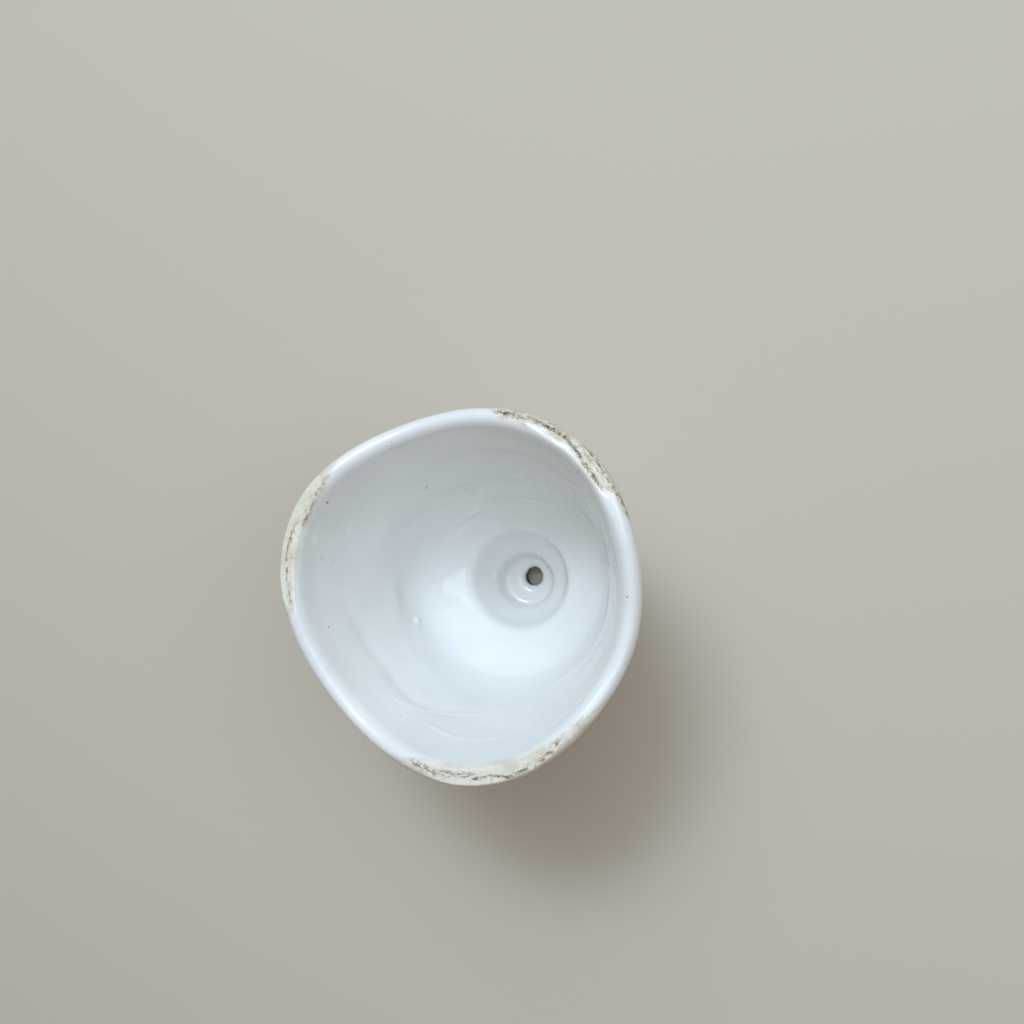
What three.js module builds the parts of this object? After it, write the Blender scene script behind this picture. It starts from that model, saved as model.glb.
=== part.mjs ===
// Ceramic bell funnel: one cast earthenware body with a wide mouth on three low feet, shallow arches
// between the feet, a rounded shoulder and a short neck that ends in a flat collar with one small vent.
// A white glaze coats it inside and out, and is wiped off the feet and off the ring round the vent.
// Millimetres. +Z points out through the mouth and z = 0 is the flat vent end. One foot points along
// -Y, and the origin is under the middle of the box round the funnel, just off the bell's axis.

import * as THREE from 'three';

// Driving dimensions
const HEIGHT = 63; // flat vent end to the flat tops of the feet
const MOUTH_RADIUS = 34.7; // outside of the lip at a foot
const LIP_WIDTH = 3;
const SKIRT_RADIUS = 33.8; // below the lip, at a foot
const BODY_RADIUS = 26.5; // the nearly straight part of the bell
const WALL = 3.3;
const SHOULDER_HEIGHT = 17.9; // outside, halfway round the shoulder
const WAIST_RADIUS = 11.1;
const WAIST_HEIGHT = 8.8;
const COLLAR_RADIUS = 12.3;
const COLLAR_HEIGHT = 3;
const NECK_FLOOR = 4.2; // thickness of the vent end
const VENT_RADIUS = 2.3;
const VENT_EDGE = 0.6; // bevel round the vent on the end ring

const AXIS_Y = 0.985; // of the bell's axis, because a foot reaches further from it than an arch

const FEET = 3;
const FIRST_FOOT = Math.PI / 6;
const FOOT_HALF_ANGLE = THREE.MathUtils.degToRad(12);
const ARCH_HEIGHT = 4.4;
const ARCH_DRAW_IN = 0.055; // share of the lip's radius lost at the middle of an arch
const LIP_CREST = HEIGHT + 0.3; // the lip before the feet are rubbed flat

// Heights between which an arch takes effect, from nothing to all of it
const ARCH_DROP = [HEIGHT - 22, HEIGHT - 1];
const ARCH_DRAWING = [HEIGHT - 22, HEIGHT - 4];

const COAT_THICKNESS = 0.3;
const COAT_GAP = 0.1; // between the clay and the coat

// Where the two coats stop, in steps between the points of a section's curve, counted from the crest
const BARE_STEPS_ON_FOOT = 2.7;
const BARE_STEPS_ON_ARCH = 0.2;
const COLLAR_BARE_STEPS = 1.3; // counted from the end ring, which keeps the coat clear of z = 0
const COVERING_DROP = [0.4, 1.6]; // how far the lip drops while the glaze closes over it

const SEGMENTS = 48; // round the axis
const COAT_RINGS = 20; // along one coat
const BARE_RINGS = 6; // over a foot, between the two coats

const { lerp, smoothstep } = THREE.MathUtils;
const curve = (points) => new THREE.SplineCurve(points.map(([r, z]) => new THREE.Vector2(r, z)));

// The clay's outside, from the edge of the end ring to the crest of the lip: [radius, height]
const lipMiddle = MOUTH_RADIUS - LIP_WIDTH / 2;
const outside = curve([
  [COLLAR_RADIUS - 1.7, 0],
  [COLLAR_RADIUS - 0.4, 0.9],
  [COLLAR_RADIUS, COLLAR_HEIGHT],
  [COLLAR_RADIUS - 0.4, COLLAR_HEIGHT + 2.4],
  [WAIST_RADIUS, WAIST_HEIGHT - 0.6],
  [WAIST_RADIUS + 0.2, WAIST_HEIGHT + 1.8],
  [WAIST_RADIUS + 1.7, WAIST_HEIGHT + 4.4],
  [WAIST_RADIUS + 4.6, SHOULDER_HEIGHT - 2.6],
  [BODY_RADIUS - 7.2, SHOULDER_HEIGHT],
  [BODY_RADIUS - 4, SHOULDER_HEIGHT + 3.6],
  [BODY_RADIUS - 2, SHOULDER_HEIGHT + 7.6],
  [BODY_RADIUS - 0.8, SHOULDER_HEIGHT + 11.5],
  [BODY_RADIUS, SHOULDER_HEIGHT + 15.8],
  [BODY_RADIUS + 1, SHOULDER_HEIGHT + 20],
  [SKIRT_RADIUS - 4.4, HEIGHT - 19.5],
  [SKIRT_RADIUS - 2.2, HEIGHT - 13.5],
  [SKIRT_RADIUS - 0.8, HEIGHT - 9.8],
  [SKIRT_RADIUS, HEIGHT - 6.6],
  [MOUTH_RADIUS - 0.4, HEIGHT - 3.9],
  [MOUTH_RADIUS, HEIGHT - 1.8],
  [lipMiddle + 1.25, HEIGHT - 0.6],
  [lipMiddle + 0.7, HEIGHT + 0.1],
  [lipMiddle, LIP_CREST],
]);

// The clay's inside, from the crest of the lip to the mouth of the vent: [radius, height]
const inside = curve([
  [lipMiddle, LIP_CREST],
  [lipMiddle - 0.8, HEIGHT],
  [lipMiddle - 1.5, HEIGHT - 0.8],
  [lipMiddle - 2, HEIGHT - 2.2],
  [lipMiddle - 2.8, HEIGHT - 5.3],
  [SKIRT_RADIUS - WALL - 1.5, HEIGHT - 9.7],
  [SKIRT_RADIUS - WALL - 3.15, HEIGHT - 15],
  [BODY_RADIUS - 0.65, HEIGHT - 20],
  [BODY_RADIUS - WALL + 1.55, HEIGHT - 24],
  [BODY_RADIUS - WALL + 0.6, HEIGHT - 28],
  [BODY_RADIUS - WALL - 0.15, HEIGHT - 32],
  [BODY_RADIUS - WALL - 1, HEIGHT - 35.7],
  [BODY_RADIUS - WALL - 2.4, HEIGHT - 38.9],
  [BODY_RADIUS - WALL - 4.8, SHOULDER_HEIGHT + WALL + 0.4],
  [WAIST_RADIUS + 4.3, SHOULDER_HEIGHT + 1.6],
  [WAIST_RADIUS + 1.9, SHOULDER_HEIGHT + 0.1],
  [WAIST_RADIUS + 0.6, SHOULDER_HEIGHT - 0.8],
  [WAIST_RADIUS - 0.15, SHOULDER_HEIGHT - 2.2],
  [WAIST_RADIUS - 0.9, SHOULDER_HEIGHT - 4.4],
  [WAIST_RADIUS - 2.2, SHOULDER_HEIGHT - 6.6],
  [WAIST_RADIUS - 3.3, NECK_FLOOR + 5.7],
  [WAIST_RADIUS - 4, NECK_FLOOR + 4.7],
  [WAIST_RADIUS - 4.6, NECK_FLOOR + 3],
  [WAIST_RADIUS - 5.1, NECK_FLOOR + 1.4],
  [WAIST_RADIUS - 6, NECK_FLOOR + 0.6],
  [VENT_RADIUS + 1.2, NECK_FLOOR + 0.2],
  [VENT_RADIUS + 0.5, NECK_FLOOR],
  [VENT_RADIUS, NECK_FLOOR - 0.8],
]);

// How far an angle is from the nearest foot's middle, 0 to half the pitch of the feet.
function angleFromFoot(angle) {
  const pitch = (2 * Math.PI) / FEET;
  const turned = THREE.MathUtils.euclideanModulo(angle - FIRST_FOOT + pitch / 2, pitch);
  return Math.abs(turned - pitch / 2);
}

const archShare = (angle) => smoothstep(angleFromFoot(angle), FOOT_HALF_ANGLE, Math.PI / FEET);

// Takes a point of the round section to its place at an angle: over an arch the lip is lower and the
// wall is drawn in with it, while the body lower down stays round, and the feet are flat on top.
function placed(point, angle) {
  const drawIn = (ARCH_DRAW_IN * (1 - Math.cos(FEET * angleFromFoot(angle)))) / 2;
  const radius = point.x * (1 - drawIn * smoothstep(point.y, ...ARCH_DRAWING));
  const drop = ARCH_HEIGHT * archShare(angle) * smoothstep(point.y, ...ARCH_DROP);
  return new THREE.Vector2(radius, Math.min(point.y - drop, HEIGHT));
}

// The share of a curve's parameter that a count of steps between its points takes up.
const share = (path, steps) => steps / (path.points.length - 1);

// A point of a curve, moved outwards from the clay by depth.
function lifted(path, t, depth) {
  const along = path.getTangent(t);
  return path.getPoint(t).add(new THREE.Vector2(along.y, -along.x).multiplyScalar(depth));
}

// Where the two coats end at an angle: short of the lip's corners on a foot, and at its crest on an arch.
function coatEdges(angle) {
  const covered = smoothstep(ARCH_HEIGHT * archShare(angle), ...COVERING_DROP);
  const bareSteps = lerp(BARE_STEPS_ON_FOOT, BARE_STEPS_ON_ARCH, covered);
  return { out: 1 - share(outside, bareSteps), in: share(inside, bareSteps) };
}

function outsideStations(angle) {
  const start = share(outside, COLLAR_BARE_STEPS);
  const end = coatEdges(angle).out;
  return Array.from({ length: COAT_RINGS + 1 }, (_, k) => lerp(start, end, k / COAT_RINGS));
}

function insideStations(angle) {
  const start = coatEdges(angle).in;
  return Array.from({ length: COAT_RINGS + 1 }, (_, k) => lerp(start, 1, k / COAT_RINGS));
}

// The clay's closed outline at an angle: end ring, outside, over the lip, inside, vent.
function clayOutline(angle) {
  const out = outsideStations(angle);
  const inn = insideStations(angle);
  const edges = coatEdges(angle);
  const bare = [];
  for (let k = 1; k < BARE_RINGS; k++) {
    const across = (2 * k) / BARE_RINGS; // 1 at the crest
    const onOutside = across <= 1;
    const t = onOutside ? lerp(edges.out, 1, across) : lerp(0, edges.in, across - 1);
    bare.push((onOutside ? outside : inside).getPoint(t));
  }
  return [
    new THREE.Vector2(VENT_RADIUS + VENT_EDGE, 0),
    outside.getPoint(0),
    ...out.map((t) => outside.getPoint(t)),
    ...bare,
    ...inn.map((t) => inside.getPoint(t)),
    new THREE.Vector2(VENT_RADIUS, VENT_EDGE),
  ];
}

// The closed outline of a coat along a curve: its outer face forwards and its inner face back.
function coatOutline(path, stations) {
  const outer = stations.map((t) => lifted(path, t, COAT_GAP + COAT_THICKNESS));
  const inner = stations.map((t) => lifted(path, t, COAT_GAP));
  return [...outer, ...inner.reverse()];
}

// Splits each four-sided patch between neighbouring outlines along its shorter diagonal, so that a coat
// and the clay under it are split the same way.
function splitPatches(geometry, count) {
  const corner = (index) => new THREE.Vector3().fromBufferAttribute(geometry.attributes.position, index);
  const faces = [];
  for (let segment = 0; segment < SEGMENTS; segment++) {
    for (let k = 0; k < count - 1; k++) {
      const a = segment * count + k;
      const [b, c, d] = [a + count, a + count + 1, a + 1];
      const acrossBD = corner(b).distanceTo(corner(d)) < corner(a).distanceTo(corner(c));
      faces.push(...(acrossBD ? [a, b, d, b, c, d] : [a, b, c, a, c, d]));
    }
  }
  geometry.setIndex(faces);
}

// Turns an outline that changes with the angle into a closed body.
function turn(outlineAt) {
  const closed = (angle) => {
    const outline = outlineAt(angle).map((point) => placed(point, angle));
    return [...outline, outline[0].clone()];
  };
  const count = closed(0).length;
  const geometry = new THREE.LatheGeometry(closed(0), SEGMENTS);
  const position = geometry.attributes.position;
  for (let segment = 0; segment <= SEGMENTS; segment++) {
    const angle = ((segment % SEGMENTS) * 2 * Math.PI) / SEGMENTS;
    closed(angle).forEach((point, k) => {
      const [x, y] = [point.x * Math.cos(angle), point.x * Math.sin(angle)];
      position.setXYZ(segment * count + k, x, y, point.y);
    });
  }
  splitPatches(geometry, count);
  geometry.deleteAttribute('uv');
  geometry.computeVertexNormals();
  return geometry;
}

function piece(name, geometry, material) {
  const mesh = new THREE.Mesh(geometry, material);
  mesh.name = name;
  return mesh;
}

const clay = new THREE.MeshStandardMaterial({ color: 0xe0d5bb, roughness: 0.8, metalness: 0 });
const glaze = new THREE.MeshStandardMaterial({ color: 0xeef2f4, roughness: 0.12, metalness: 0 });

const funnel = new THREE.Group();
funnel.position.y = AXIS_Y;
funnel.add(piece('clay_body', turn(clayOutline), clay));
funnel.add(piece('outside_glaze', turn((angle) => coatOutline(outside, outsideStations(angle))), glaze));
funnel.add(piece('inside_glaze', turn((angle) => coatOutline(inside, insideStations(angle))), glaze));

export default funnel;
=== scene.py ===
"""A small white-glazed ceramic bell funnel, standing on its vent end with the mouth up.

The body is one turned clay shape with three bare feet on its rim. The glaze is a thin coat over it that
thins out where it stops: at the feet, at the vent end and in the vent. Lengths are in millimetres until a
mesh is made, and the Blender scene is in metres.
"""

import math

import bpy
import numpy as np
from mathutils import Matrix, Vector


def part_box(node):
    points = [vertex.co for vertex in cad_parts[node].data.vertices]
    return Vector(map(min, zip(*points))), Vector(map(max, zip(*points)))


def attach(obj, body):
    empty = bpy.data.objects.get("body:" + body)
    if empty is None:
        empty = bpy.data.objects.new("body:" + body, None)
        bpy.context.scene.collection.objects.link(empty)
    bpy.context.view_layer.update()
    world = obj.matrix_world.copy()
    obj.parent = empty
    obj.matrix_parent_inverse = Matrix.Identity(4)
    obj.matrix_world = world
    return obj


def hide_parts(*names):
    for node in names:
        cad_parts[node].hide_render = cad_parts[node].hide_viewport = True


MM = 0.001

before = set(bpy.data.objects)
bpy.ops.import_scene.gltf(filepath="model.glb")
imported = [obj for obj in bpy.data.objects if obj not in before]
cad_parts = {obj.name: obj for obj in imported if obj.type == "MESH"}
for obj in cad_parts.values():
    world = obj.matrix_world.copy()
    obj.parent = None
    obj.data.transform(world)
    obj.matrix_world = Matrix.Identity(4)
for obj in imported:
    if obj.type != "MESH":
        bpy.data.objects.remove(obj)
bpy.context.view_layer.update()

# ---------------------------------------------------------------- driving dimensions, from the frame

clay_low, clay_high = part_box("clay_body")
HEIGHT = clay_high.z / MM
AXIS_Y = 0.985  # of the bell's axis, which the origin is just off
MOUTH = AXIS_Y - clay_low.y / MM  # radius of the lip's outside on a foot
SKIRT = MOUTH - 0.9  # below the lip, at a foot
BODY = 26.5
WALL = 3.3
LIP_WIDTH = 3.0
SHOULDER = 17.9
WAIST = 11.1
COLLAR = 12.3
BASE = COLLAR - 1.7  # radius of the flat face it stands on
NECK_FLOOR = 4.2
VENT = 2.3
VENT_TOP = NECK_FLOOR - 0.8  # where the vent's straight bore begins
VENT_EDGE = 0.6  # chamfer at the vent's other end

FEET = 3
FIRST_FOOT = math.pi / 6
FOOT_HALF_ANGLE = math.radians(12)
ARCH_HEIGHT = 4.4
ARCH_DRAW_IN = 0.055  # share of its radius that the wall moves in at an arch
ARCH_FADE = HEIGHT - 22  # the arches' shape fades away from the rim down to here

ROUND = 480  # steps round the axis
STEP = 0.33  # between rings of the mesh
LIP_STEP = 0.2  # the same within LIP_FINE of the lip's crest
LIP_FINE = 6.0
CURVE_SAMPLES = 6000  # for a curve's arc length
CREST_SAMPLES = 8000  # for finding the highest point of the wall

# ---------------------------------------------------------------- small tools


def smoothstep(low, high, value):
    share = np.clip((value - low) / (high - low), 0.0, 1.0)
    return share * share * (3 - 2 * share)


def smooth_curve(points):
    """A function of arc length along a twice smooth curve through the points, and its length."""
    knots = np.array(points, float)
    chord = np.concatenate([[0], np.cumsum(np.linalg.norm(np.diff(knots, axis=0), axis=1))])
    gap = np.diff(chord)
    count = len(knots)
    system = np.eye(count)
    right = np.zeros_like(knots)
    for k in range(1, count - 1):
        system[k, k - 1 : k + 2] = gap[k - 1], 2 * (gap[k - 1] + gap[k]), gap[k]
        slope_after = (knots[k + 1] - knots[k]) / gap[k]
        slope_before = (knots[k] - knots[k - 1]) / gap[k - 1]
        right[k] = 6 * (slope_after - slope_before)
    bend = np.linalg.solve(system, right)

    def at_chord(value):
        k = np.clip(np.searchsorted(chord, value, side="right") - 1, 0, count - 2)
        h = gap[k][:, None]
        before = (chord[k + 1] - value)[:, None] / h
        after = (value - chord[k])[:, None] / h
        bulge = (before**3 - before) * bend[k] + (after**3 - after) * bend[k + 1]
        return before * knots[k] + after * knots[k + 1] + bulge * h * h / 6

    fine = np.linspace(0, chord[-1], CURVE_SAMPLES)
    steps = np.linalg.norm(np.diff(at_chord(fine), axis=0), axis=1)
    travelled = np.concatenate([[0], np.cumsum(steps)])
    return (lambda length: at_chord(np.interp(length, travelled, fine))), travelled[-1]


def waves(angle, along, seed, count, most_turns, pitch):
    """Soft irregularity that closes on itself round the axis, mostly within -1 to 1."""
    rng = np.random.default_rng(seed)
    total = np.zeros(np.broadcast(angle, along).shape)
    for _ in range(count):
        turns = rng.integers(1, most_turns + 1)
        tilt = rng.normal() / pitch
        total = total + rng.normal() * np.cos(turns * angle + tilt * along + rng.uniform(0, 2 * math.pi))
    return total / math.sqrt(count)


# ---------------------------------------------------------------- the section of the wall

LIP_MIDDLE = MOUTH - LIP_WIDTH / 2
outside = [
    (BASE, 0.0),
    (COLLAR - 0.4, 0.9),
    (COLLAR, 3.0),
    (COLLAR - 0.4, 5.4),
    (WAIST, 8.2),
    (WAIST + 0.2, 10.6),
    (WAIST + 1.7, 13.2),
    (WAIST + 4.6, SHOULDER - 2.6),
    (BODY - 7.2, SHOULDER),
    (BODY - 4.0, SHOULDER + 3.6),
    (BODY - 2.0, SHOULDER + 7.6),
    (BODY - 0.8, SHOULDER + 11.5),
    (BODY, SHOULDER + 15.8),
    (BODY + 1.0, SHOULDER + 20.0),
    (SKIRT - 4.4, HEIGHT - 19.5),
    (SKIRT - 2.2, HEIGHT - 13.5),
    (SKIRT - 0.8, HEIGHT - 9.8),
    (SKIRT, HEIGHT - 6.6),
    (MOUTH - 0.4, HEIGHT - 3.9),
    (MOUTH, HEIGHT - 1.8),
    (LIP_MIDDLE + 1.25, HEIGHT - 0.6),
    (LIP_MIDDLE + 0.7, HEIGHT + 0.1),
]
crest = [(LIP_MIDDLE, HEIGHT + 0.3)]
inside = [
    (LIP_MIDDLE - 0.8, HEIGHT + 0.0),
    (LIP_MIDDLE - 1.5, HEIGHT - 0.8),
    (LIP_MIDDLE - 2.0, HEIGHT - 2.2),
    (LIP_MIDDLE - 2.8, HEIGHT - 5.3),
    (SKIRT - WALL - 1.5, HEIGHT - 9.7),
    (SKIRT - WALL - 3.15, HEIGHT - 15.0),
    (BODY - 0.65, HEIGHT - 20.0),
    (BODY - WALL + 1.55, HEIGHT - 24.0),
    (BODY - WALL + 0.6, HEIGHT - 28.0),
    (BODY - WALL - 0.15, HEIGHT - 32.0),
    (BODY - WALL - 1.0, HEIGHT - 35.7),
    (BODY - WALL - 2.4, HEIGHT - 38.9),
    (BODY - WALL - 4.8, SHOULDER + WALL + 0.4),
    (WAIST + 4.3, SHOULDER + 1.6),
    (WAIST + 1.9, SHOULDER + 0.1),
    (WAIST + 0.6, SHOULDER - 0.8),
    (WAIST - 0.15, SHOULDER - 2.2),
    (WAIST - 0.9, SHOULDER - 4.4),
    (WAIST - 2.2, SHOULDER - 6.6),
    (WAIST - 3.3, NECK_FLOOR + 5.7),
    (WAIST - 4.0, NECK_FLOOR + 4.7),
    (WAIST - 4.5, NECK_FLOOR + 3.1),
    (WAIST - 4.9, NECK_FLOOR + 1.8),
    (WAIST - 5.3, NECK_FLOOR + 1.0),
    (WAIST - 6.0, NECK_FLOOR + 0.6),
    (VENT + 1.5, NECK_FLOOR + 0.4),
    (VENT + 0.5, NECK_FLOOR),
    (VENT, VENT_TOP),
]


def wall_stations(length, crest_at):
    """Arc lengths along the wall, close together over the lip."""
    made = [0.0]
    while made[-1] < length:
        near_lip = abs(made[-1] - crest_at) < LIP_FINE
        made.append(made[-1] + (LIP_STEP if near_lip else STEP))
    return np.array(made[:-1] + [length])


def section():
    """The closed section: radius, height and signed distance past the lip's crest, for each ring."""
    wall, length = smooth_curve(outside + crest + inside)
    fine = np.linspace(0, length, CREST_SAMPLES)
    crest_at = fine[np.argmax(wall(fine)[:, 1])]
    along = wall_stations(length, crest_at)
    rings = wall(along)
    bore = np.linspace(VENT_TOP, VENT_EDGE, 8)[1:]
    base = np.linspace(VENT + VENT_EDGE, BASE, 16)[:-1]
    rest = [(VENT, z) for z in bore] + [(r, 0.0) for r in base]
    far = along[-1] - crest_at + 1 + np.arange(len(rest))
    return np.vstack([rings, rest]), np.concatenate([along - crest_at, far])


def angle_from_foot(angle):
    """How far each angle is from the middle of the nearest foot."""
    pitch = 2 * math.pi / FEET
    return np.abs((angle - FIRST_FOOT + pitch / 2) % pitch - pitch / 2)


# How the mouth departs from three equal lobes: turns round the axis, amount and direction of its peak
UNEVEN = [(1, 0.28, -174), (2, 0.12, 37), (4, 0.17, -40), (5, 0.10, -18), (6, 0.15, 27)]


def uneven(angle):
    """The mouth's departure at each angle, in millimetres."""
    return sum(size * np.cos(turns * (angle - math.radians(peak))) for turns, size, peak in UNEVEN)


# The corner at the bottom of the neck isn't quite centred on the vent
NECK_SHIFT = np.array([-1.1, -0.7, 0.0])
VENT_RAGGED = 0.1  # how far the vent's outline departs from round


def clay_surface():
    """Points of the clay, one row for each ring and one column for each angle, in millimetres."""
    rings, past_crest = section()
    angle = np.arange(ROUND) * 2 * math.pi / ROUND
    radius = rings[:, :1] + np.zeros(ROUND)
    height = rings[:, 1:] + np.zeros(ROUND)
    from_foot = angle_from_foot(angle)
    arch = smoothstep(FOOT_HALF_ANGLE, math.pi / FEET, from_foot)
    draw_in = ARCH_DRAW_IN * (1 - np.cos(FEET * from_foot)) / 2
    radius = radius * (1 - draw_in * smoothstep(ARCH_FADE, HEIGHT - 4, height))
    radius = radius + uneven(angle) * smoothstep(HEIGHT / 3, HEIGHT - 6, height)
    near_vent = 1 - smoothstep(VENT, VENT + 1.6, radius)
    ragged = waves(angle, 0, seed=5, count=8, most_turns=9, pitch=1.0)
    radius = radius + VENT_RAGGED * ragged * near_vent
    drop = ARCH_HEIGHT * arch * smoothstep(ARCH_FADE, HEIGHT - 1, height)
    height = np.minimum(height - drop, HEIGHT)
    points = np.stack([radius * np.cos(angle), radius * np.sin(angle), height], axis=-1)
    neck = (past_crest[:, None] > 0) * smoothstep(2.8, 5.6, radius) * (1 - smoothstep(5.9, 10.5, radius))
    points = points + neck[:, :, None] * NECK_SHIFT
    return points, past_crest, angle


def normals_of(points):
    """Outward unit normals of a closed grid of points."""
    along = np.roll(points, -1, axis=0) - np.roll(points, 1, axis=0)
    around = np.roll(points, -1, axis=1) - np.roll(points, 1, axis=1)
    normal = np.cross(around, along)
    return normal / np.maximum(np.linalg.norm(normal, axis=2, keepdims=True), 1e-12)


def read_line(angle, line):
    """A line drawn over the wall through (degrees round the axis, millimetres past the crest) points.

    Gives the degrees where it starts and ends, the angles in degrees as it counts them, and how far past the
    crest it is at each.
    """
    at, past = np.array(sorted(line), float).T
    middle = (at[0] + at[-1]) / 2
    degrees = (np.degrees(angle) - middle + 180) % 360 - 180 + middle
    return at[0], at[-1], degrees, np.interp(degrees, at, past)


def along_line(angle, past_crest, line, width, fade=5.0):
    """1 on a line drawn over the wall, falling to 0 across its width and beyond both its ends."""
    start, end, degrees, past = read_line(angle, line)
    ends = smoothstep(start - fade, start, degrees) * (1 - smoothstep(end, end + fade, degrees))
    off = (past_crest[:, None] - past[None, :]) / width
    return np.exp(-off * off) * ends[None, :]


# Marks of turning on the inside: the line's points, how far it stands proud, and its half-width
RINGS = [
    ([(76, 15.6), (56, 16.1), (34, 16.4), (20, 16.0), (13, 17.4), (5, 22.1), (-3, 25.6)], 0.28, 0.4),
    ([(70, 13.9), (45, 14.2), (25, 14.0), (8, 15.0), (-8, 18.0)], 0.07, 0.5),
    ([(328, 21.6), (311, 22.8), (297, 20.1), (282, 18.4), (272, 13.8)], 0.2, 0.45),
    ([(269, 12.1), (260, 12.1), (250, 11.7), (240, 12.4)], 0.16, 0.5),
    ([(222, 13.6), (243, 20.6), (266, 25.0)], 0.12, 0.6),
    ([(175, 15.1), (189, 17.6), (207, 20.0), (222, 17.9), (235, 18.4), (257, 23.2)], -0.2, 2.4),
    ([(100, 34.6), (79, 35.6), (64, 39.1), (57, 41.1)], 0.2, 1.3),
    ([(96, 45.3), (76, 45.6), (52, 45.1), (33, 43.6), (15, 43.0)], 0.16, 0.5),
    ([(126, 46.4), (100, 47.6), (84, 47.7)], 0.12, 0.4),
    (
        [(28, 7.2), (13, 9.1), (1, 10.5), (-11, 7.6), (-20, 6.3), (-33, 6.6), (-47, 7.4), (-57, 6.6)],
        -0.22,
        1.1,
    ),
    ([(24, 4.8), (10, 5.4), (-10, 5.0), (-30, 4.4), (-48, 4.6)], 0.14, 0.5),
    ([(215, 64.4), (240, 64.6), (275, 64.5), (305, 64.2)], 0.14, 0.35),
]

# Beads and drips of glaze on the inside: degrees, millimetres past the crest, reach and height
BEADS = [
    (190.3, 37.6, 0.7, 0.55),
    (196.0, 36.3, 0.5, 0.16),
    (99.4, 40.1, 0.9, 0.5),
    (101.0, 38.6, 0.55, 0.3),
    (158.0, 62.1, 0.5, 0.3),
    (52.0, 62.4, 0.45, 0.3),
    (28.0, 63.2, 0.4, 0.25),
    (350.0, 64.0, 0.4, 0.25),
]


def relief(points, past_crest, angle):
    """How far the finish stands proud of the turned surface, in millimetres."""
    proud = np.zeros(points.shape[:2])
    for line, height, width in RINGS:
        proud += height * along_line(angle, past_crest, line, width)
    radius = np.hypot(points[:, :, 0], points[:, :, 1])
    for degrees, past, reach, height in BEADS:
        turn = (angle - math.radians(degrees) + math.pi) % (2 * math.pi) - math.pi
        apart = np.hypot(radius * turn[None, :], past_crest[:, None] - past)
        proud += height * np.exp(-((apart / reach) ** 2))
    return proud


# ---------------------------------------------------------------- the glaze

GLAZE = 0.4  # how far the coat stands off the clay
SUNK = 0.06  # the coat's inner face lies this far inside the clay
ROLL = 1.9  # width over which the coat thins out to its edge
BASE_BARE = 1.3  # height of the bare band at the vent end
VENT_GLAZED = 1.8  # how far the coat runs down into the vent
FLUSH_UNTIL = 20.0  # bare clay is raised level with the coat only short of this, past the crest
BARE_OUTSIDE = 3.2  # how far the bare clay of a foot reaches down the outside
EDGE_RAGGED = 0.4  # how far the coat's edge wanders
END_DRAWN = 0.3  # distance round the rim counts this much past a patch's ends, which draws them out

# Bare clay on the feet: degrees round the axis, and how far it reaches past the crest there
BARE_PATCHES = [
    [(67, -2.4), (61, -1.0), (53, -0.6), (46, -0.7), (37, -0.2)]
    + [(29, 0.1), (24, 0.0), (20, -0.7), (16, -1.6), (11, -2.8)],
    [(124, -1.6), (129, 0.0), (138, 0.8), (150, 0.9), (160, 0.7), (167, 0.4), (173, -0.8)],
    [(239, -1.0), (246, 0.7), (261, 1.4), (275, 0.9), (288, 0.2), (295, -0.2), (302, -0.8), (306, -1.6)],
]

# Stains rubbed into the bare clay: the line's points, its half-width and its strength
STAINS = [
    ([(67, -1.0), (40, -1.3), (12, -1.8)], 1.7, 0.5),
    ([(124, 0.6), (150, 0.3), (175, 0.2)], 1.6, 0.3),
    ([(238, 0.3), (270, -0.3), (308, 0.0)], 1.5, 0.3),
    ([(69, -0.9), (56, -0.7), (49, -0.9), (41, -0.9), (35, -0.3), (29, 0.4), (20, 0.6)], 0.5, 1.0),
    ([(34, -1.9), (30, -1.6), (22, -1.1), (15, -2.0), (9, -2.2)], 0.3, 1.0),
    ([(123, 0.3), (131, 0.8), (138, 1.5), (144, 1.4)], 0.7, 0.7),
    ([(146, 0.1), (156, -0.3), (171, 0.4), (177, 0.4)], 0.3, 0.9),
    ([(238, 0.9), (250, 0.0), (254, 0.4), (262, 0.5)], 0.6, 0.8),
    ([(264, -0.2), (269, 0.0), (274, -0.9), (280, -0.8)], 0.35, 1.0),
    ([(285, -0.8), (288, -0.5), (296, 0.4), (310, 0.0)], 0.45, 0.8),
]


def glaze_edge_distance(points, past_crest, angle):
    """How far each point lies inside the coat's edge, in millimetres; below 0 it is bare."""
    wander = waves(angle[None, :], past_crest[:, None], seed=11, count=14, most_turns=40, pitch=4.0)
    ragged = EDGE_RAGGED * wander
    from_patch = np.full(points.shape[:2], np.inf)
    for patch in BARE_PATCHES:
        start, end, degrees, reach = read_line(angle, patch)
        past_end = np.maximum(np.maximum(start - degrees, degrees - end), 0)
        centre, half_width = (reach - BARE_OUTSIDE) / 2, (reach + BARE_OUTSIDE) / 2
        across = np.abs(past_crest[:, None] - centre) - half_width
        from_end = END_DRAWN * MOUTH * np.radians(past_end)
        from_patch = np.minimum(from_patch, across + from_end + ragged)
    height = points[:, :, 2]
    radius = np.hypot(points[:, :, 0], points[:, :, 1])
    outer_side = past_crest[:, None] < 0
    from_base = np.where(outer_side, height - BASE_BARE + 0.3 * ragged, np.inf)
    in_neck = (~outer_side) & (radius < VENT + 3)
    from_vent = np.where(in_neck, height - (NECK_FLOOR - VENT_GLAZED), np.inf)
    return np.minimum(np.minimum(from_patch, from_base), from_vent)


def dirt_on(past_crest, angle):
    """Where the bare clay is stained, 0 to 1."""
    worst = np.zeros((len(past_crest), len(angle)))
    for line, width, strength in STAINS:
        worst = np.maximum(worst, strength * along_line(angle, past_crest, line, width, fade=3.0))
    return worst


# ---------------------------------------------------------------- meshes


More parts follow.
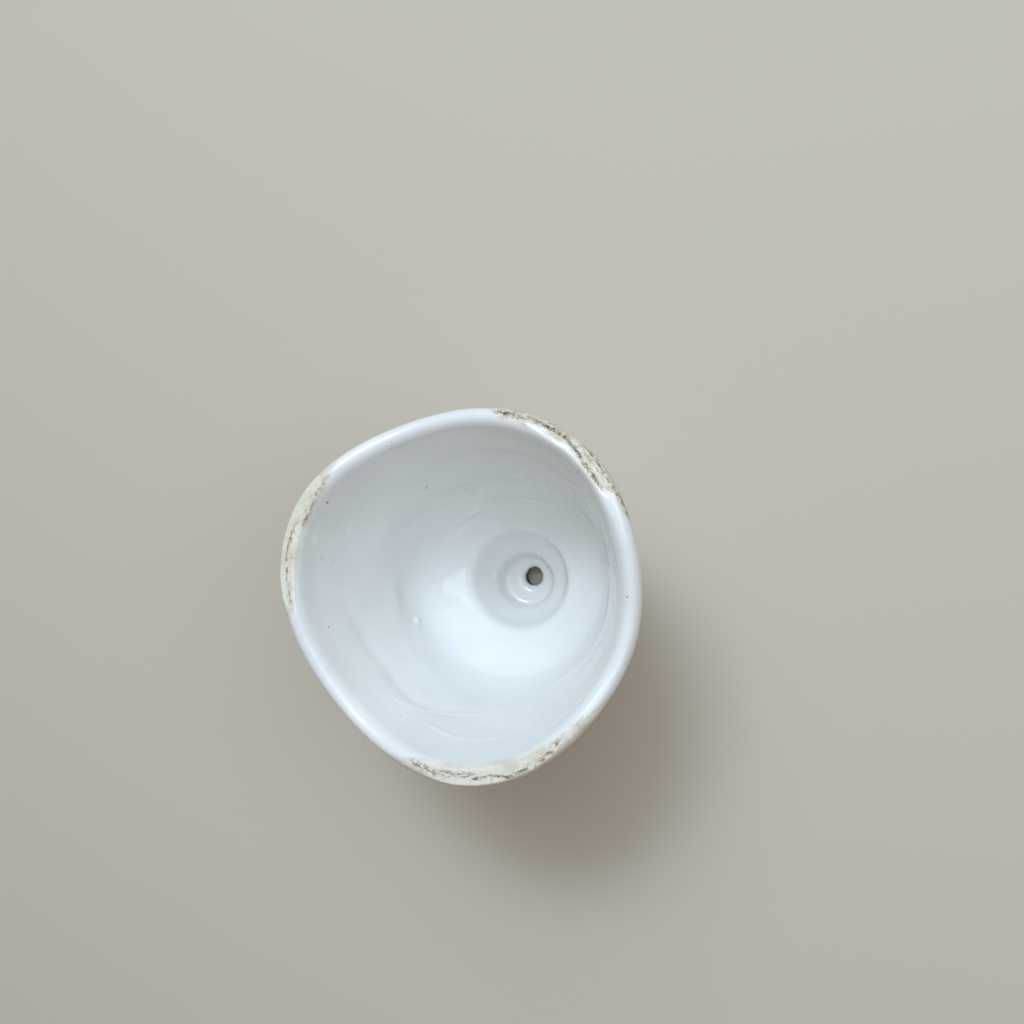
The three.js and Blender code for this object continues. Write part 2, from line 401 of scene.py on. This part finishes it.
def new_mesh(name, points, faces):
    """An object with smooth faces, from points in millimetres about the bell's axis."""
    mesh = bpy.data.meshes.new(name)
    mesh.from_pydata(((points + (0, AXIS_Y, 0)) * MM).tolist(), [], faces.tolist())
    mesh.polygons.foreach_set("use_smooth", np.ones(len(mesh.polygons), bool))
    mesh.update()
    made = bpy.data.objects.new(name, mesh)
    bpy.context.scene.collection.objects.link(made)
    return made


def add_values(piece, name, values):
    """Gives the mesh one number for each of its points, for the materials to read."""
    attribute = piece.data.attributes.new(name, "FLOAT", "POINT")
    attribute.data.foreach_set("value", values.astype(np.float32))


def grid_faces(rows, columns):
    """Four corners for each face of a grid that is closed both ways."""
    ring, step = np.meshgrid(np.arange(rows), np.arange(columns), indexing="ij")
    next_ring, next_step = (ring + 1) % rows, (step + 1) % columns
    corners = [(ring, step), (ring, next_step), (next_ring, next_step), (next_ring, step)]
    return np.stack([(r * columns + s).ravel() for r, s in corners], axis=1)


def make_clay(points, edge, marks):
    rows, columns = points.shape[:2]
    piece = new_mesh("clay_body_fine", points.reshape(-1, 3), grid_faces(rows, columns))
    add_values(piece, "from_edge", edge.ravel())
    for name, values in marks.items():
        add_values(piece, name, values.ravel())
    return piece


def make_glaze(points, edge, marks):
    """The coat as a closed skin: its outer face, and its inner face sunk into the clay."""
    rows, columns = points.shape[:2]
    normal = normals_of(points)
    share = np.clip(edge / ROLL, 0, 1)
    depth = (GLAZE + SUNK) * smoothstep(0, 1, share) - SUNK
    outer = (points + normal * depth[:, :, None]).reshape(-1, 3)
    inner = (points - normal * SUNK).reshape(-1, 3)
    raised = (share > 0).ravel()
    faces = grid_faces(rows, columns)
    faces = faces[raised[faces].any(axis=1)]
    count = rows * columns
    inner_index = np.where(raised, np.arange(count) + count, np.arange(count))
    both = np.vstack([faces, inner_index[faces][:, ::-1]])
    used, compact = np.unique(both, return_inverse=True)
    everything = np.vstack([outer, inner])
    piece = new_mesh("glaze_coat", everything[used], compact.reshape(both.shape))
    add_values(piece, "from_edge", np.tile(edge.ravel(), 2)[used])
    for name, values in marks.items():
        add_values(piece, name, np.tile(values.ravel(), 2)[used])
    return piece


# ---------------------------------------------------------------- materials


class Shader:
    """A material's nodes, added one by one and joined by name."""

    def __init__(self, name):
        self.material = bpy.data.materials.new(name)
        self.material.use_nodes = True
        self.tree = self.material.node_tree
        self.surface = self.tree.nodes["Principled BSDF"]
        coordinates = self.tree.nodes.new("ShaderNodeTexCoord")
        self.place = coordinates.outputs["Object"]

    def link(self, value, socket):
        if isinstance(value, bpy.types.NodeSocket):
            self.tree.links.new(value, socket)
        else:
            socket.default_value = value

    def noise(self, scale, detail=3.0, roughness=0.5, place=None):
        node = self.tree.nodes.new("ShaderNodeTexNoise")
        self.link(place or self.place, node.inputs["Vector"])
        node.inputs["Scale"].default_value = scale
        node.inputs["Detail"].default_value = detail
        node.inputs["Roughness"].default_value = roughness
        return node.outputs["Fac"]

    def combine(self, x, y, z):
        node = self.tree.nodes.new("ShaderNodeCombineXYZ")
        for socket, value in zip(node.inputs, (x, y, z)):
            self.link(value, socket)
        return node.outputs["Vector"]

    def apart(self, point):
        """The distance from a point of the object."""
        node = self.tree.nodes.new("ShaderNodeVectorMath")
        node.operation = "DISTANCE"
        self.link(self.place, node.inputs[0])
        node.inputs[1].default_value = point
        return node.outputs["Value"]

    def value(self, name):
        node = self.tree.nodes.new("ShaderNodeAttribute")
        node.attribute_name = name
        return node.outputs["Fac"]

    def ramp(self, value, low, high, at_low=0.0, at_high=1.0):
        node = self.tree.nodes.new("ShaderNodeMapRange")
        node.interpolation_type = "SMOOTHSTEP"
        self.link(value, node.inputs["Value"])
        limits = {"From Min": low, "From Max": high, "To Min": at_low, "To Max": at_high}
        for socket, number in limits.items():
            node.inputs[socket].default_value = number
        return node.outputs["Result"]

    def math(self, operation, first, second):
        node = self.tree.nodes.new("ShaderNodeMath")
        node.operation = operation
        self.link(first, node.inputs[0])
        self.link(second, node.inputs[1])
        return node.outputs["Value"]

    def mix(self, share, first, second):
        node = self.tree.nodes.new("ShaderNodeMix")
        node.data_type = "RGBA"
        self.link(share, node.inputs["Factor"])
        self.link(first, node.inputs["A"])
        self.link(second, node.inputs["B"])
        return node.outputs["Result"]

    def bump(self, height, distance, strength=1.0, under=None):
        node = self.tree.nodes.new("ShaderNodeBump")
        node.inputs["Strength"].default_value = strength
        node.inputs["Distance"].default_value = distance
        self.link(height, node.inputs["Height"])
        if under is not None:
            self.link(under, node.inputs["Normal"])
        return node.outputs["Normal"]


# Colours, linear
GLAZE_COOL = (0.795, 0.785, 0.76, 1)
GLAZE_WHITE = (0.83, 0.82, 0.79, 1)
SPECK = (0.15, 0.12, 0.09, 1)
CLAY_PALE = (0.80, 0.745, 0.64, 1)
CLAY_DEEP = (0.69, 0.615, 0.49, 1)
RUBBED = (0.40, 0.32, 0.22, 1)
SOOT = (0.07, 0.05, 0.035, 1)
# Dark brown painted on the vent's bore: painted shade of the narrow hole, not a stain
VENT_PAINTED_SHADE = (0.11, 0.08, 0.05, 1)

# Dark specks in the glaze: degrees round the axis, millimetres past the crest, and radius
SPECKS = [
    (48.8, 29.6, 0.36),
    (135.0, 4.1, 0.3),
    (130.3, 5.0, 0.13),
    (133.1, 7.1, 0.15),
    (181.9, 7.6, 0.16),
    (103.1, 0.8, 0.12),
    (111.6, 26.1, 0.15),
    (226.9, 9.1, 0.13),
    (345.9, 0.4, 0.13),
    (300.0, 3.0, 0.11),
]
SPECK_RAGGED = 0.6  # how far the noise moves a speck's outline
# Faint brown patches under the glaze, as above
BLUSHES = [(156.0, 8.4, 0.9), (157.0, 11.6, 0.7), (49.5, 30.0, 1.1), (112.5, 26.6, 1.0)]


def clay_colour(s):
    """Pale clay, streaked along the rim with stains."""
    stretched = s.combine(s.math("MULTIPLY", s.value("rim"), 0.4), s.value("past"), 0.0)
    streaks = s.noise(2.0, 6.0, 0.65, stretched)
    grain = s.noise(2400, 4.0, 0.6)
    colour = s.mix(s.ramp(s.noise(260, 5), 0.35, 0.7), CLAY_PALE, CLAY_DEEP)
    dirt = s.value("dirt")
    tinge = s.math("MULTIPLY", s.ramp(dirt, 0.05, 0.9, 0.0, 0.75), s.ramp(streaks, 0.38, 0.6))
    colour = s.mix(tinge, colour, RUBBED)
    rough = s.math("ADD", streaks, s.math("MULTIPLY", grain, 0.5))
    worn = s.math("ADD", s.math("MULTIPLY", dirt, 0.3), rough)
    colour = s.mix(s.ramp(worn, 0.88, 1.05), colour, RUBBED)
    return s.mix(s.ramp(worn, 1.02, 1.18), colour, SOOT)


def glaze_material(face, past_crest, angle):
    """White glaze with its specks, which lie on the coat's outer face."""
    s = Shader("white_glaze")
    colour = s.mix(s.ramp(s.noise(70), 0.35, 0.65), GLAZE_COOL, GLAZE_WHITE)

    def where(degrees, past):
        row = np.argmin(np.abs(past_crest - past))
        column = np.argmin(np.abs(np.degrees(angle) - degrees))
        return (face[row, column] + (0, AXIS_Y, 0)) * MM

    ragged = s.math("MULTIPLY", s.math("SUBTRACT", s.noise(2600, 2.0), 0.5), SPECK_RAGGED * MM)
    for degrees, past, size in BLUSHES:
        apart = s.math("ADD", s.apart(where(degrees, past)), ragged)
        colour = s.mix(s.ramp(apart, 0.0, size * MM, 0.3, 0.0), colour, RUBBED)
    for degrees, past, size in SPECKS:
        apart = s.math("ADD", s.apart(where(degrees, past)), ragged)
        colour = s.mix(s.ramp(apart, size * MM * 0.5, size * MM * 1.4, 0.9, 0.0), colour, SPECK)
    covered = s.math("ADD", s.value("from_edge"), s.math("MULTIPLY", s.noise(700, 5.0, 0.65), 0.9))
    colour = s.mix(s.ramp(covered, 0.75, 2.1), clay_colour(s), colour)
    s.link(colour, s.surface.inputs["Base Color"])
    s.link(s.ramp(covered, 0.6, 1.8, 0.55, 0.06), s.surface.inputs["Roughness"])
    s.surface.inputs["IOR"].default_value = 1.52
    wavy = s.bump(s.noise(110, 1.0), 0.0003)
    s.link(s.bump(s.noise(900, 2.0), 0.000008, 1.0, wavy), s.surface.inputs["Normal"])
    return s.material


def clay_material():
    """Bare clay, pitted, with dark brown painted shade inside the vent."""
    s = Shader("bare_clay")
    # Inside the vent the clay is painted dark brown as painted shade of the bore
    colour = s.mix(s.value("vent"), clay_colour(s), VENT_PAINTED_SHADE)
    s.link(colour, s.surface.inputs["Base Color"])
    s.link(s.ramp(s.noise(800), 0.3, 0.7, 0.55, 0.85), s.surface.inputs["Roughness"])
    pits = s.bump(s.noise(700, 6, 0.6), 0.00012)
    s.link(s.bump(s.noise(2600, 3), 0.00004, 1.0, pits), s.surface.inputs["Normal"])
    return s.material


def plain_material(name, colour, roughness):
    s = Shader(name)
    s.surface.inputs["Base Color"].default_value = colour
    s.surface.inputs["Roughness"].default_value = roughness
    return s.material


# ---------------------------------------------------------------- camera, light and floor


def add_camera():
    """Looks into the mouth, about 15 degrees off the axis."""
    data = bpy.data.cameras.new("camera")
    data.sensor_width = 36.0
    data.lens = 36.04
    camera = bpy.data.objects.new("camera", data)
    right = Vector((0.9381, -0.2216, -0.2663))
    up = Vector((0.2338, 0.9722, 0.0147))
    back = Vector((0.2557, -0.0760, 0.9638))
    turn = Matrix((right, up, back)).transposed().to_4x4()
    camera.matrix_world = Matrix.Translation((0.0602, -0.0015, 0.23765)) @ turn
    bpy.context.scene.collection.objects.link(camera)
    bpy.context.scene.camera = camera


def add_area_light(name, direction, distance, size, power, colour, target):
    data = bpy.data.lights.new(name, "AREA")
    data.shape = "RECTANGLE"
    data.size, data.size_y = size
    data.energy = power
    data.color = colour
    light = bpy.data.objects.new(name, data)
    back = Vector(direction).normalized()
    across = Vector((-back.y, back.x, 0)).normalized()
    turn = Matrix((across, back.cross(across), back)).transposed().to_4x4()
    light.matrix_world = Matrix.Translation(target + back * distance) @ turn
    bpy.context.scene.collection.objects.link(light)


def towards(side, lean):
    """The direction that leans from +Z by one angle towards the side at the other, both in degrees."""
    side, lean = math.radians(side), math.radians(lean)
    return math.sin(lean) * math.cos(side), math.sin(lean) * math.sin(side), math.cos(lean)


COOL_LIGHT = (0.735, 0.915, 1.09)
WARM_SKY = (1.0, 0.87, 0.75, 1)
FLOOR_COLOUR = (0.56, 0.48, 0.385, 1)
FLOOR_HALF = 3.0  # metres


def add_light():
    """A wide soft panel over the mouth, a smaller brighter one to one side, and a weak warm sky."""
    middle = Vector((0, 0, HEIGHT * MM / 2))
    add_area_light("panel", towards(42, 26), 0.9, (1.5, 0.7), 6.8, COOL_LIGHT, middle)
    add_area_light("window", towards(84, 30), 0.9, (0.3, 0.2), 3.4, COOL_LIGHT, middle)
    world = bpy.data.worlds.new("world")
    world.use_nodes = True
    background = world.node_tree.nodes["Background"]
    background.inputs["Color"].default_value = WARM_SKY
    background.inputs["Strength"].default_value = 0.26
    bpy.context.scene.world = world
    bpy.context.scene.view_settings.view_transform = "Standard"


def add_floor():
    half = FLOOR_HALF
    corners = [(-half, -half, 0), (half, -half, 0), (half, half, 0), (-half, half, 0)]
    mesh = bpy.data.meshes.new("floor")
    mesh.from_pydata(corners, [], [(0, 1, 2, 3)])
    floor = bpy.data.objects.new("floor", mesh)
    bpy.context.scene.collection.objects.link(floor)
    mesh.materials.append(plain_material("floor", FLOOR_COLOUR, 0.85))


# ---------------------------------------------------------------- the scene

add_camera()
add_light()
add_floor()

surface, past_crest, angle = clay_surface()
edge = glaze_edge_distance(surface, past_crest, angle)
flush = np.where(past_crest[:, None] < FLUSH_UNTIL, GLAZE * (1 - smoothstep(0, ROLL, edge)), 0)
surface = surface + normals_of(surface) * (flush + relief(surface, past_crest, angle))[:, :, None]
surface[:, :, 2] = np.clip(surface[:, :, 2], 0, HEIGHT)
bore = surface[:, :, 2] < NECK_FLOOR - VENT_GLAZED
# Distance round the rim starts again from 0 in the middle of an arch, away from the feet's bare clay
round_rim = MOUTH * ((angle + math.pi / FEET / 2) % (2 * math.pi))
marks = {
    "dirt": dirt_on(past_crest, angle),
    "rim": np.zeros_like(edge) + round_rim,
    "past": np.zeros_like(edge) + past_crest[:, None],
    # The vent's bore, where the clay material paints dark brown painted shade
    "vent": (bore & (past_crest[:, None] > 0)).astype(float),
}

clay = make_clay(surface, edge, marks)
clay.data.materials.append(clay_material())
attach(clay, "root")
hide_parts("clay_body")

glaze = make_glaze(surface, edge, marks)
glaze.data.materials.append(glaze_material(surface + GLAZE * normals_of(surface), past_crest, angle))
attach(glaze, "root")
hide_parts("inside_glaze", "outside_glaze")
